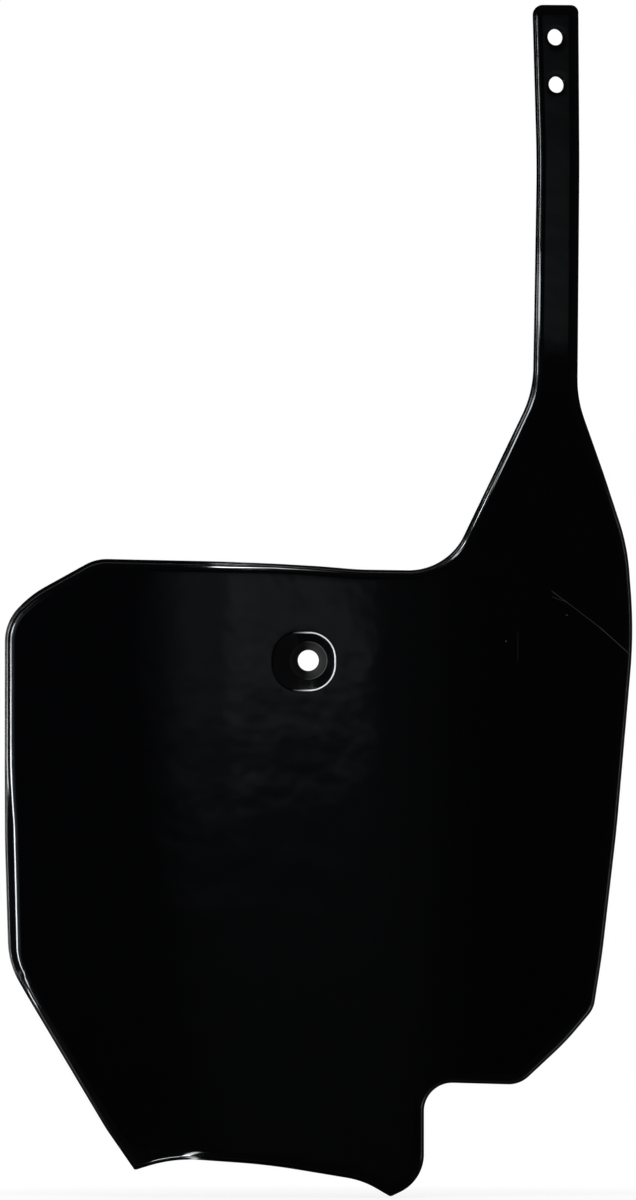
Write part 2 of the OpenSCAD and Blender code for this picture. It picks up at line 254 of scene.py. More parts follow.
# %% [markdown]
# Both loops are walked together, in steps of at most 1.5 mm along the silhouette.
# Each step has a place on the silhouette, a place on the face line, and the splay
# and depth of the lip between them. With steps this short, a reflection slides
# along the edge without a kink.
# %% Steps round the edge
samples = []
for i, (_, _, radius, splay, depth) in enumerate(corners):
    turn = abs(edge_turns[i])
    steps = max(2, math.ceil(turn / BEND_STEP), math.ceil(turn * radius / SIDE_STEP))
    outer = round_corner(edge_loop, i, edge_radii[i], steps)
    inner = round_corner(face_loop, i, face_radii[i], steps)
    samples += [(*o, *f, splay, depth) for o, f in zip(outer, inner)]

dense = []
for a, b in zip(samples, samples[1:] + samples[:1]):
    a, b = np.array(a), np.array(b)
    parts = max(1, math.ceil(np.linalg.norm(b[:2] - a[:2]) / SIDE_STEP))
    dense += [a + (b - a) * k / parts for k in range(parts)]
ring_samples = np.array(dense)
print(len(ring_samples), "steps round the edge")

# %% [markdown]
# Even a crisp moulded edge has a radius of a few tenths of a millimetre, and that
# radius is what catches the light in a photograph, so no edge of the board is left
# perfectly sharp. A bevel modifier could round them afterwards, but it treats all
# edges alike. One helper instead rounds a path of straight stretches with a radius
# for each corner, and serves the lip, the recess and the holes.
# %% A rounded path
def rounded_path(points, rounds):
    """The rounded corners of a path, one after another. rounds holds a radius and a
    number of steps for each inner corner. The path starts where the first round
    starts and ends where the last one ends."""
    points = [np.array(p, float) for p in points]
    radii = [0] + [radius for radius, _ in rounds] + [0]
    path = []
    for k, (radius, steps) in enumerate(rounds, start=1):
        a, b, c = points[k - 1:k + 2]
        back, ahead = a - b, c - b
        room = min(np.linalg.norm(back) * radius / (radius + radii[k - 1]),
                   np.linalg.norm(ahead) * radius / (radius + radii[k + 1]))
        back, ahead = back / np.linalg.norm(back), ahead / np.linalg.norm(ahead)
        half_turn = (math.pi - math.acos(np.clip(back @ ahead, -1, 1))) / 2
        reach = min(radius * math.tan(half_turn), room)
        weight = math.cos(half_turn)
        for t in np.linspace(0, 1, steps + 1):
            share = np.array(((1 - t) ** 2, 2 * t * (1 - t) * weight, t ** 2))
            stops = np.stack((b + back * reach, b, b + ahead * reach))
            path.append(share @ stops / share.sum())
    return np.array(path)


square_corner = rounded_path(((0, 0), (1, 0), (1, 1)), ((0.5, 4),))
print("a square corner rounded in 4 steps has", len(square_corner), "points")

# %% [markdown]
# The section of the lip. From the face it bends back over a wide round, runs out
# with the splay to a narrow land at the free edge, and comes back inside at the
# thickness of the wall.
# %% The lip's section
INNER_BEND_R = BEND_R - WALL
CRISP, EASED = (0.2, 3), (0.3, 3)
LIP_ROUNDS = ((BEND_R, 14), CRISP, CRISP, EASED, EASED, (INNER_BEND_R, 5))


def lip_section(splay, depth):
    """u runs inwards from the silhouette and v backwards from the face."""
    a = lip_angle(splay, depth)
    run = lip_run(splay, depth)
    slip = (WALL * math.cos(a) - LAND_T) / math.sin(a)
    inner_u = LAND_W + WALL * math.sin(a) + slip * math.cos(a)
    path = ((run, 0), (splay, 0), (LAND_W, depth - LAND_T),
            (0, depth - LAND_T + LAND_W * LAND_SLOPE), (0, depth), (inner_u, depth),
            (run - INNER_BEND_R * math.tan(a / 2), WALL), (run, WALL))
    return rounded_path(path, LIP_ROUNDS)


print("the lip turns back by", round(math.degrees(lip_angle(LEFT, DEEP))), "degrees at the left")

# %% [markdown]
# A small mesh collector. The board is one closed skin, so every part of it has to
# share its border points with its neighbour. Parts made one by one and welded
# afterwards would leave that to chance. The collector hands out point numbers, and
# joins two rings of points with four-sided faces.
# %% Mesh collector
points, faces, dull, rubbed = [], [], [], []


def add_points(places, dullness=0.0, pale=0.0):
    """New points, with how dull the plastic is there, which on the land is partly painted shade,
    and how much painted highlight it carries.
    """
    first = len(points)
    points.extend(np.asarray(places, float).tolist())
    dull.extend(np.broadcast_to(dullness, len(places)).tolist())
    rubbed.extend(np.broadcast_to(pale, len(places)).tolist())
    return list(range(first, len(points)))


def join_rings(rings):
    """Four-sided faces between each ring and the next one."""
    n = len(rings[0])
    for ring_a, ring_b in zip(rings, rings[1:]):
        for k in range(n):
            faces.append((ring_a[k], ring_a[(k + 1) % n], ring_b[(k + 1) % n], ring_b[k]))


print("the collector starts with", len(points), "points")

# %% [markdown]
# The turned lip is what makes the thin board stiff, and its bend draws the bright
# line down the left side. Each step round the edge gets one copy of the section,
# laid from the silhouette to the face line. A sweep along a curve would give every
# copy the same size, but the lip is deep round the board and shallow along the
# strap, so each copy is worked out for its own step.
# %% Columns of the lip
sections = {}
lip_columns = []
for row in ring_samples:
    key = (round(row[4], 4), round(row[5], 4))
    if key not in sections:
        sections[key] = lip_section(*key)
    section = sections[key]
    share = (section[:, 0] / lip_run(*key))[:, None]
    flat = row[:2] + (row[2:4] - row[:2]) * share
    depth = face_depth(flat[:, 0], flat[:, 1]) + section[:, 1]
    lip_columns.append(np.stack((flat[:, 0], depth, flat[:, 1]), axis=1))
print(len(sections), "different sections in", len(lip_columns), "columns")

# %% [markdown]
# The points at the same height of all the columns make a ring, and the rings are
# joined into the lip. The land at the free edge is a little duller and greyer than
# the rest, as a worn edge is. Where it faces up it is kept glossy black as painted
# shade. The numbers are shares by ring, counted from the face.
# %% Rings of the lip
LAND_SHARES = {18: 0.02, 19: 0.06, 20: 0.7, 21: 1.0, 22: 0.7}
# Painted shade: land that faces up keeps only this share of the greyer, duller finish
UPWARD_LAND_SHARE = 0.1
steps_on = np.roll(ring_samples, -1, axis=0)[:, :2] - ring_samples[:, :2]
faces_up = steps_on[:, 0] / np.linalg.norm(steps_on, axis=1)
land_lit_share = np.clip(1 - 2 * faces_up, UPWARD_LAND_SHARE, 1)
lip_rings = []
for j in range(len(lip_columns[0])):
    places = [column[j] for column in lip_columns]
    lip_rings.append(add_points(places, LAND_SHARES.get(j, 0) * land_lit_share))
join_rings(lip_rings)
print(len(lip_rings), "rings and", len(faces), "faces in the lip")

# %% [markdown]
# The recess for the bolt. Its mouth is a rounded square a little off the hole's
# centre, its floor is a round seat for the bolt's head, and behind the panel it
# stands out as a cup. The mouth's edge is found by direction from its centre, so
# that the square above and the round below can share the same spokes.
# %% Mouth of the recess
SPOKES = 144
MOUTH_HALF = np.array((12.0, 11.1))
MOUTH_CORNER_R = 9.9
MOUTH_SHIFT = np.array((-1.7, -0.4))


def rounded_square(angle, half, corner_r):
    """Distance from the centre of a rounded rectangle to its edge, by direction."""
    c, s = abs(math.cos(angle)), abs(math.sin(angle))
    reach = min(half[0] / max(c, 1e-9), half[1] / max(s, 1e-9))
    middle = half - corner_r
    spot = reach * np.array((c, s))
    if spot[0] > middle[0] and spot[1] > middle[1]:
        b = c * middle[0] + s * middle[1]
        reach = b + math.sqrt(max(b * b - middle @ middle + corner_r ** 2, 0))
    return reach


print("the mouth is", 2 * MOUTH_HALF[0], "mm wide and", 2 * MOUTH_HALF[1], "mm high")

# %% [markdown]
# One profile runs from the face down the wall, across the floor, through the hole
# and back over the cup. It is laid round the hole like the spokes of a wheel. A
# boolean cut would make the same pocket, but with long thin faces round its rim
# that spoil a glossy shading.
# %% Profile of the recess
SEAT_R = 7.3
CUP_WALL = 1.76
CUP_FOOT = 0.15
MOUTH_BORDER, CUP_BORDER = 3, 2
RECESS_ROUNDS = ((1.6, 12), (0.7, 8), (0.35, 4), (0.35, 4), (0.8, 4), (1.2, 4), (1.2, 5))
face_y = -RECESS_DEPTH
recess_columns = []
for k in range(SPOKES):
    angle = 2 * math.pi * k / SPOKES
    way = np.array((math.cos(angle), math.sin(angle)))
    mouth_reach = rounded_square(angle, MOUTH_HALF, MOUTH_CORNER_R)
    mouth = MOUTH_SHIFT + way * mouth_reach
    cup = MOUTH_SHIFT + way * (mouth_reach + CUP_WALL)
    cup_seat = way * (SEAT_R + CUP_WALL)
    cup_foot = cup + (cup_seat - cup) * CUP_FOOT
    spoke = [(mouth + way * MOUTH_BORDER, face_y), (mouth, face_y),
             (way * SEAT_R, 0), (way * BOLT_R, 0), (way * BOLT_R, RECESS_FLOOR_T),
             (cup_seat, RECESS_FLOOR_T), (cup_seat, RECESS_FLOOR_T / 2),
             (cup_foot, face_y + WALL), (cup + way * CUP_BORDER, face_y + WALL)]
    path = [(flat[0], y, flat[1]) for flat, y in spoke]
    recess_columns.append(rounded_path(path, RECESS_ROUNDS))
print("each spoke of the recess has", len(recess_columns[0]), "points")

# %% [markdown]
# Painted highlight in the recess: a thin nearly white line along the rim on the
# right and a fainter one along the seat. Both fade out towards the left, and they are
# strongest where the light from the left falls. The wall and the floor are a little
# dull. Painting that on an image would need a map, while the rings of the mesh
# already follow the rim, so their points carry it.
# %% Rings, dullness and painted highlight of the recess
RIM_HIGHLIGHT_SHARES = {5: 0.3, 6: 0.8, 7: 1.0, 8: 1.0, 9: 0.8, 10: 0.3}
SEAT_HIGHLIGHT_SHARES = {17: 0.04, 18: 0.12, 19: 0.18, 20: 0.12, 21: 0.03, 22: 0.05, 23: 0.02}
WALL_RINGS, WALL_DULLNESS = range(11, 27), 0.3
# Both painted highlight masks are 1 at the right, where the light from the left falls, and fade
# out towards the left
to_right = np.cos(2 * math.pi * np.arange(SPOKES) / SPOKES)
rim_lit_side = np.clip((to_right + 0.4) / 0.6, 0, 1) ** 1.5
seat_lit_side = np.clip((to_right + 0.3) / 0.9, 0, 1)
recess_rings = []
for j in range(len(recess_columns[0])):
    # pale is the share of painted highlight at each point of the ring
    pale = RIM_HIGHLIGHT_SHARES.get(j, 0) * rim_lit_side + SEAT_HIGHLIGHT_SHARES.get(j, 0) * seat_lit_side
    places = [column[j] for column in recess_columns]
    recess_rings.append(add_points(places, WALL_DULLNESS if j in WALL_RINGS else 0, pale))
join_rings(recess_rings)
print("the recess has", len(recess_rings), "rings")

# %% [markdown]
# The two strap holes are square to the strap, which is swept sideways and leans
# back, so each one is laid on the local direction of the face. They are built as
# rings with a small round at both rims, and not cut, for the same reason as the
# recess.
# %% Strap holes
HOLE_SPOKES = 64
HOLE_ROUNDS = ((0.25, 4), (0.25, 4))
HOLE_BORDER = 0.7
SLOPE_STEP = 0.01
STRAP_HOLES = ((94.7, 238.6), (95.1, 220.4))


def add_hole(x, z, radius):
    """Rings from the front border of a hole to its back border."""
    step = SLOPE_STEP
    slope_x = float(face_depth(x + step, z) - face_depth(x - step, z)) / (2 * step)
    slope_z = float(face_depth(x, z + step) - face_depth(x, z - step)) / (2 * step)
    out = np.array((slope_x, -1, slope_z))
    out /= np.linalg.norm(out)
    across = np.cross(out, (0, 0, 1))
    across /= np.linalg.norm(across)
    up = np.cross(across, out)
    centre = np.array((x, float(face_depth(x, z)), z))
    thick = WALL * -out[1]
    border = radius + HOLE_BORDER
    columns = []
    for k in range(HOLE_SPOKES):
        angle = 2 * math.pi * k / HOLE_SPOKES
        way = across * math.cos(angle) + up * math.sin(angle)
        spoke = ((border, 0), (radius, 0), (radius, thick), (border, thick))
        path = [centre + way * r - out * d for r, d in spoke]
        columns.append(rounded_path(path, HOLE_ROUNDS))
    rings = [add_points([column[j] for column in columns]) for j in range(len(columns[0]))]
    join_rings(rings)
    return rings[0], rings[-1]


hole_rings = [add_hole(x, z, STRAP_HOLE_R) for x, z in STRAP_HOLES]
print("strap holes at a pitch of", round(STRAP_HOLES[0][1] - STRAP_HOLES[1][1], 1), "mm")

# %% [markdown]
# The flat face and its back are what is left: two sheets with a border and three
# holes each. Which spots of the sheet lie inside a border is found by counting how
# often a ray from the spot crosses it.
# %% Inside or outside
def loop_points(ring):
    return np.array([points[i] for i in ring])[:, (0, 2)]


def inside(spots, loop):
    """Which spots lie within a loop, by counting the crossings of a ray."""
    result = np.zeros(len(spots), bool)
    for a, b in zip(loop, np.roll(loop, -1, axis=0)):
        over = (a[1] > spots[:, 1]) != (b[1] > spots[:, 1])
        if over.any():
            x_cross = a[0] + (spots[over, 1] - a[1]) * (b[0] - a[0]) / (b[1] - a[1])
            result[over] ^= spots[over, 0] < x_cross
    return result


def on_sheet(spots, loops):
    """Which spots lie within the first loop and outside all the others."""
    result = inside(spots, loops[0])
    for loop in loops[1:]:
        result &= ~inside(spots, loop)
    return result


bolt_centre = np.zeros((1, 2))
print("the bolt's centre lies on the face:", bool(on_sheet(bolt_centre, [face_loop])[0]))

# %% [markdown]
# A hexagonal grid of points fills the sheet, and a Delaunay triangulation ties the
# points to the loops. One large face with many sides would be simpler, but its
# shading is uneven where it bends. The grid keeps every triangle close to equal
# sides, which smooth shading needs on a glossy surface.
# %% Front and back sheets
GRID = 2.5
CLEAR_OF_BORDER = 0.55


def grid_points(loops):
    """A hexagonal grid over the sheet that stays clear of all the loops."""
    low, high = loops[0].min(axis=0), loops[0].max(axis=0)
    rows = np.arange(low[1], high[1], GRID * math.sqrt(0.75))
    grid = np.array([(x + (k % 2) * GRID / 2, z) for k, z in enumerate(rows)
                     for x in np.arange(low[0], high[0], GRID)])
    grid = grid[on_sheet(grid, loops)]
    border = np.concatenate(loops)
    near = np.array([np.min(((border - g) ** 2).sum(axis=1)) for g in grid])
    return grid[near > (CLEAR_OF_BORDER * GRID) ** 2]


def fill_sheet(outer_ring, inner_rings, offset):
    rings = [outer_ring] + inner_rings
    loops = [loop_points(ring) for ring in rings]
    grid = grid_points(loops)
    depth = face_depth(grid[:, 0], grid[:, 1]) + offset
    own = add_points(np.stack((grid[:, 0], depth, grid[:, 1]), axis=1))
    ids = [i for ring in rings for i in ring] + own
    flat = np.concatenate(loops + [grid])
    ties, first = [], 0
    for ring in rings:
        n = len(ring)
        ties += [(first + k, first + (k + 1) % n) for k in range(n)]
        first += n
    made = delaunay_2d_cdt([Vector(p) for p in flat], ties, [], 1, 1e-6)
    triangles = np.array(made[2])
    keep = on_sheet(flat[triangles].mean(axis=1), loops)
    for triangle in triangles[keep]:
        faces.append(tuple(ids[k] for k in triangle))
    return int(keep.sum())


front_holes = [recess_rings[0]] + [pair[0] for pair in hole_rings]
back_holes = [recess_rings[-1]] + [pair[1] for pair in hole_rings]
print("front sheet:", fill_sheet(lip_rings[0], front_holes, 0), "triangles")
print("back sheet:", fill_sheet(lip_rings[-1], back_holes, WALL), "triangles")

# %% [markdown]
# All the points and faces become one closed mesh with smooth shading. Blender turns
# all its faces outwards. Two point attributes go with it: how dull the plastic is at
# a place, and how much painted highlight it carries. The material reads both later.
# %% Board mesh
board_mesh = bpy.data.meshes.new("number_board_skin")
board_mesh.from_pydata([[c * MM for c in p] for p in points], [], faces)
work = bmesh.new()
work.from_mesh(board_mesh)
bmesh.ops.recalc_face_normals(work, faces=work.faces)
open_edges = sum(1 for edge in work.edges if len(edge.link_faces) != 2)
work.to_mesh(board_mesh)
work.free()
for name, values in (("dull", dull), ("rubbed", rubbed)):
    mark = board_mesh.attributes.new(name, "FLOAT", "POINT")
    mark.data.foreach_set("value", values)
board_mesh.polygons.foreach_set("use_smooth", [True] * len(board_mesh.polygons))
print(len(board_mesh.polygons), "faces,", open_edges, "open edges")

# %% [markdown]
# The mesh becomes the board. It rides on the model's only body and stands for the
# CAD solid, which stays for collisions.
# %% Board object
board = add_object("number_board_skin", board_mesh)
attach(board, "root")
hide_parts("number_board")
print("the board is", round(board.dimensions.z, 3), "m high")

# %% [markdown]
# Shader maths in plain expressions. A Wire wraps one output socket, and each
# operator adds the Math node it stands for. Any other node comes from one method,
# which takes the node's type, its settings and the values of its sockets. Nodes
# could be added and linked one by one instead, but the sum would be hard to read.
# %% Shader helpers
class Wire:
    """One output socket in a node tree, usable in sums with numbers and Wires."""

    def __init__(self, tree, socket=None):
        self.tree, self.socket = tree, socket

    def node(self, kind, settings=None, sockets=None, out=0):
        made = self.tree.nodes.new(kind)
        for name, value in (settings or {}).items():
            if name == "stops":
                ramp = made.color_ramp
                ramp.elements[0].position, ramp.elements[0].color = value[0]
                ramp.elements[1].position, ramp.elements[1].color = value[-1]
                for position, colour in value[1:-1]:
                    ramp.elements.new(position).color = colour
            else:
                setattr(made, name, value)
        for name, value in (sockets or {}).items():
            if isinstance(value, Wire):
                self.tree.links.new(value.socket, made.inputs[name])
            else:
                made.inputs[name].default_value = value
        return Wire(self.tree, made.outputs[out]) if made.outputs else made

    def maths(self, operation, a, b=0.0, clamp=False):
        return self.node("ShaderNodeMath", {"operation": operation, "use_clamp": clamp},
                         {0: a, 1: b})

    def vector_maths(self, operation, sockets, out="Vector"):
        return self.node("ShaderNodeVectorMath", {"operation": operation}, sockets, out)

    def __add__(self, other):
        return self.maths("ADD", self, other)

    def __sub__(self, other):
        return self.maths("SUBTRACT", self, other)

    def __rsub__(self, other):
        return self.maths("SUBTRACT", other, self)

    def __mul__(self, other):
        return self.maths("MULTIPLY", self, other)

    def __pow__(self, other):
        return self.maths("POWER", self, other)

    __radd__, __rmul__ = __add__, __mul__

    def clamped(self):
        return self.maths("ADD", self, 0.0, clamp=True)

    def soft_step(self, low, high):
        """0 at low and 1 at high, with a soft start and end."""
        return self.node("ShaderNodeMapRange", {"interpolation_type": "SMOOTHSTEP"},
                         {"Value": self, "From Min": low, "From Max": high})


def new_material(name):
    made = bpy.data.materials.new(name)
    made.use_nodes = True
    made.node_tree.nodes.clear()
    return made, Wire(made.node_tree)


plastic, start = new_material("gloss_black_polypropylene")
print("a new material starts with", len(plastic.node_tree.nodes), "nodes")

# %% [markdown]
# The plastic. Injection-moulded black polypropylene is almost without colour, so
# all that is seen is its gloss. One layer with a very dark base and a low roughness
# gives it. A slow ripple left by the mould and a fine grain bend the reflections a
# little, and blotches of slightly lower gloss break them up. A coat on top would
# add a second and sharper gloss, which bare plastic doesn't have.
# %% Surface of the plastic
def noise(place, scale, detail, roughness):
    return place.node("ShaderNodeTexNoise", None,
                      {"Vector": place, "Scale": scale, "Detail": detail, "Roughness": roughness})


GLOSS, BLOTCH_DULLNESS, WORN_DULLNESS = 0.1, 0.06, 0.36
RIPPLE_HEIGHT, GRAIN_HEIGHT = 0.6, 0.006
place = start.node("ShaderNodeTexCoord", out="Object")
ripple = noise(place, 55.0, 2.0, 0.45)
grain = noise(place, 900.0, 3.0, 0.55)
blotch = noise(place, 45.0, 4.0, 0.6)
dulled = start.node("ShaderNodeAttribute", {"attribute_name": "dull"}, out="Fac")
rim_highlight_mask = start.node("ShaderNodeAttribute", {"attribute_name": "rubbed"}, out="Fac")
roughness = GLOSS + blotch * BLOTCH_DULLNESS + dulled * WORN_DULLNESS
height = ripple * RIPPLE_HEIGHT + grain * GRAIN_HEIGHT
print("nodes for the surface:", len(plastic.node_tree.nodes))

# %% [markdown]
# A few hairline scratches from handling run over the right wing, as in the
# photograph. A scratch is far thinner than the mesh is fine, so it is drawn by the
# material: the distance from each place to a short straight line, turned into a
# soft-edged stroke. Several strokes end to end make the long bent one. They are
# kept to the faces that look forwards, so that none runs through to the back.
# %% Scratches
# Start and end of a stroke in millimetres, its width and how strong it is
SCRATCHES = ((93.1, 26.5, 98.8, 22.3, 0.25, 0.35), (93.1, 24.3, 98.8, 22.3, 0.2, 0.25),
             (98.8, 22.3, 111.8, 12.4, 0.25, 0.3), (111.8, 12.4, 123.2, 2.2, 0.3, 0.4),
             (98.8, 17.4, 98.9, 17.3, 0.5, 0.5), (75.5, 7.4, 75.6, 7.3, 0.5, 0.7),
             (80.1, 10.9, 80.1, -0.6, 0.3, 0.12))
CORE, FADE = 0.2 * MM, 0.7 * MM


def stroke(ax, az, bx, bz, width):
    """1 along a fine line between two places on the board."""
    a, b = Vector((ax, 0, az)) * MM, Vector((bx, 0, bz)) * MM
    line = b - a
    flat = place.vector_maths("MULTIPLY", {0: place, 1: (1, 0, 1)})
    offset = flat.vector_maths("SUBTRACT", {0: flat, 1: a})
    along = offset.vector_maths("DOT_PRODUCT", {0: offset, 1: line / line.length_squared},
                                "Value")
    foot = along.vector_maths("SCALE", {0: line, "Scale": along.clamped()})
    gap = foot.vector_maths("DISTANCE", {0: offset, 1: foot}, "Value")
    return 1 - gap.soft_step(width * CORE, width * FADE)


normal = start.node("ShaderNodeNewGeometry", out="Normal")
looks_back = start.node("ShaderNodeSeparateXYZ", None, {"Vector": normal}, out="Y")
front = (0 - looks_back).soft_step(0.2, 0.5)
scratched = 0.0
for ax, az, bx, bz, width, strength in SCRATCHES:
    scratched = scratched + stroke(ax, az, bx, bz, width) * strength
scratched = (scratched * front).clamped()
print("strokes:", len(SCRATCHES))

# %% [markdown]
# The colours and the shader. Black comes first. The dull places, the scratches
# and a painted highlight on the recess rim and seat are then laid over it, each by its
# own mask. The painted highlight is nearly white. One shader node takes all of it, as
# the board is one material through and through.
# %% Colours and shader
GLOSS_BLACK = (0.0006, 0.0007, 0.001, 1)
DULL_BLACK = (0.006, 0.006, 0.007, 1)
SCRATCH_GREY = (0.07, 0.072, 0.08, 1)
HIGHLIGHT_WHITE = (0.85, 0.86, 0.88, 1)


def lay_over(mask, under, over):
    return mask.node("ShaderNodeMix", {"data_type": "RGBA"},
                     {"Factor": mask, "A": under, "B": over}, out="Result")


colour = lay_over(dulled, GLOSS_BLACK, DULL_BLACK)
colour = lay_over(scratched, colour, SCRATCH_GREY)
# Painted highlight: the recess rim and seat turn nearly white, most of all on the right, where
# the light from the left falls
colour = lay_over(rim_highlight_mask, colour, HIGHLIGHT_WHITE)
bump = start.node("ShaderNodeBump", None,
                  {"Height": height, "Strength": 0.8, "Distance": 0.6 * MM})
shader = start.node("ShaderNodeBsdfPrincipled", None,
                    {"Base Color": colour, "Roughness": roughness, "IOR": 1.45,
                     "Normal": bump})
start.node("ShaderNodeOutputMaterial", None, {"Surface": shader})
board_mesh.materials.append(plastic)
print("plastic nodes:", len(plastic.node_tree.nodes))

# %% [markdown]
# The surroundings. The photograph has a clean white ground with no visible edge,
# and a dark room in front of the board, or its glossy face would look grey. So the
# world is white to the camera, white in reflections only straight behind the board,
# and dim in reflections elsewhere. For the matt floor it is a plain soft fill. A
# real backdrop sheet would do the same, but it would also light the board.
# %% World
def ray_kinds(start):
    """Masks for rays from the camera, rays off a gloss and rays through clear things."""
    kinds = ("Is Camera Ray", "Is Glossy Ray", "Is Transmission Ray")
    return [start.node("ShaderNodeLightPath", out=kind) for kind in kinds]


BEHIND_LOW, BEHIND_HIGH = 0.93, 0.99
ROOM_GLOSS, ROOM_FILL = 0.01, 0.8
world = bpy.data.worlds.new("studio")
bpy.context.scene.world = world
world.use_nodes = True
world.node_tree.nodes.clear()
sky = Wire(world.node_tree)
is_camera, is_glossy, is_through = ray_kinds(sky)
direction = sky.node("ShaderNodeTexCoord", out="Generated")
backwards = sky.node("ShaderNodeSeparateXYZ", None, {"Vector": direction}, out="Y")
behind = backwards.soft_step(BEHIND_LOW, BEHIND_HIGH)
shows_white = (is_camera + (is_glossy + is_through) * behind).clamped()
dim = is_glossy * ROOM_GLOSS + (1 - is_glossy) * ROOM_FILL
background = sky.node("ShaderNodeBackground", None,
                      {"Color": (1, 1, 1, 1), "Strength": shows_white + (1 - shows_white) * dim})
sky.node("ShaderNodeOutputWorld", None, {"Surface": background})
print("world nodes:", len(world.node_tree.nodes))

# %% [markdown]
# The floor is a pale sheet just below the board's lowest tip. Near the board it
# keeps the soft shadow, and further out it runs into the white ground. Reflections
# see it dark in front, because in the photograph nothing pale lies under the face.
# %% Floor
SHEET_CORNERS = ((-1, -1), (1, -1), (1, 1), (-1, 1))


def sheet_mesh(name, width, height, z=0.0):
    mesh = bpy.data.meshes.new(name)
    mesh.from_pydata([(sx * width / 2, sy * height / 2, z) for sx, sy in SHEET_CORNERS],
                     [], [(0, 1, 2, 3)])
    return mesh


FLOOR_SIZE, FLOOR_GAP = 0.64, 0.4 * MM
floor_z = cad_box[0].z - FLOOR_GAP
floor_mesh = sheet_mesh("floor", FLOOR_SIZE, FLOOR_SIZE, floor_z)
floor = add_object("floor", floor_mesh)
print("floor at", round(floor_z, 4), "m")

# %% [markdown]
# The paper of the floor. It is a matt pale grey, which takes the shadow, mixed with
# a plain white that no shadow darkens. The white wins towards the edge of the
# sheet, so the camera sees no edge there.
# %% Paper of the floor
PAPER_GREY, DARK_GREY = (0.86, 0.86, 0.86, 1), (0.02, 0.02, 0.02, 1)
NEAR_WHITE = 0.8
FADE_START, FADE_END = 0.24, 0.31
pale, start = new_material("pale_paper")
is_camera, is_glossy, is_through = ray_kinds(start)
place = start.node("ShaderNodeTexCoord", out="Object")
far = place.vector_maths("LENGTH", {0: place}, "Value").soft_step(FADE_START, FADE_END)
back = start.node("ShaderNodeSeparateXYZ", None, {"Vector": place}, out="Y").soft_step(0.1, 0.5)
share_white = is_camera * (NEAR_WHITE + far * (1 - NEAR_WHITE)) + (is_glossy + is_through) * back
paper = start.node("ShaderNodeBsdfDiffuse", None, {"Color": PAPER_GREY})
shade = start.node("ShaderNodeBsdfDiffuse", None, {"Color": DARK_GREY})
white = start.node("ShaderNodeEmission", None, {"Color": (1, 1, 1, 1), "Strength": 1.0})
lit = start.node("ShaderNodeMixShader", None, {0: is_glossy, 1: paper, 2: shade})
both = start.node("ShaderNodeMixShader", None, {0: share_white, 1: lit, 2: white})
start.node("ShaderNodeOutputMaterial", None, {"Surface": both})
floor_mesh.materials.append(pale)
print("paper nodes:", len(pale.node_tree.nodes))

# %% [markdown]
# Two soft lamps give the plain light of a studio: one at the left and one above,
# both in front of the board. They light the floor, the painted rim highlight and the scratches.
# They stay out of reflections, because each bright line on the gloss comes from one
# of the cards below, which can be placed and dimmed by itself.
# %% Lamps
def aim_at(thing, place, target):
    thing.location = place
    way = Vector(target) - Vector(place)
    thing.rotation_euler = way.to_track_quat("-Z", "Y").to_euler()


def add_softbox(name, place, target, width, height, power):
    data = bpy.data.lights.new(name, "AREA")
    data.shape = "RECTANGLE"
    data.size, data.size_y = width, height
    data.energy = power
    lamp = add_object(name, data)
    aim_at(lamp, place, target)
    lamp.visible_camera = lamp.visible_glossy = False


add_softbox("left_softbox", (-1.1, -0.31, -0.2), (0, -0.31, -0.2), 0.58, 1.05, 6)
add_softbox("top_softbox", (-0.02, -0.28, 1.0), (-0.02, -0.28, 0), 0.3, 0.75, 4.1)

# %% [markdown]
# A glossy black panel shows nothing but the room round it, so its looks are made by
# cards: sheets that glow in soft patterns and are seen only by reflections. Lamps
# would give even patches, and a picture of a room would bring in forms that the
# photograph doesn't show. One helper makes all the cards. A profile gives a card
# its pattern, from the two positions on the sheet.
# %% Reflector cards
CARD_COLOUR = (0.93, 0.97, 1)


def add_card(name, place, target, width, height, profile):
    """A sheet that faces the target. The profile takes the two positions on the
    sheet, from 0 to 1 across and from 0 to 1 upwards, and returns its brightness."""
    mesh = sheet_mesh(name, width, height)
    card = add_object(name, mesh)
    aim_at(card, place, target)
    card.visible_camera = card.visible_diffuse = card.visible_shadow = False
    material, start = new_material(name + "_glow")
    spread = start.node("ShaderNodeTexCoord", out="Generated")
    across = start.node("ShaderNodeSeparateXYZ", None, {"Vector": spread}, out="X")
    upwards = start.node("ShaderNodeSeparateXYZ", None, {"Vector": spread}, out="Y")
    brightness = profile(across, upwards)
    colour = brightness.vector_maths("SCALE", {0: CARD_COLOUR, "Scale": brightness})
    glow = start.node("ShaderNodeEmission", None, {"Color": colour, "Strength": 1.0})
    start.node("ShaderNodeOutputMaterial", None, {"Surface": glow})
    mesh.materials.append(material)
    print(name, "glows with", len(material.node_tree.nodes), "nodes")


def ramp_profile(stops, peak, soft, level=False):
    """Brightness from a ramp that runs upwards, or across where level is set, and
    soft to the two sides of the ramp."""
    def profile(across, upwards):
        along, beside = (across, upwards) if level else (upwards, across)
        ramp = along.node("ShaderNodeValToRGB",
                          {"stops": [(at, (v, v, v, 1)) for at, v in stops]}, {"Fac": along})
        return ramp * beside.soft_step(0, soft) * (1 - beside.soft_step(1 - soft, 1)) * peak
    return profile


def shares(low, high, stops):
    """Stops given by place, turned into shares of the way from low to high."""
    return [((place - low) / (high - low), value) for place, value in stops]


print("a stop in the middle lies at", shares(-1, 1, ((0, 1),))[0][0])

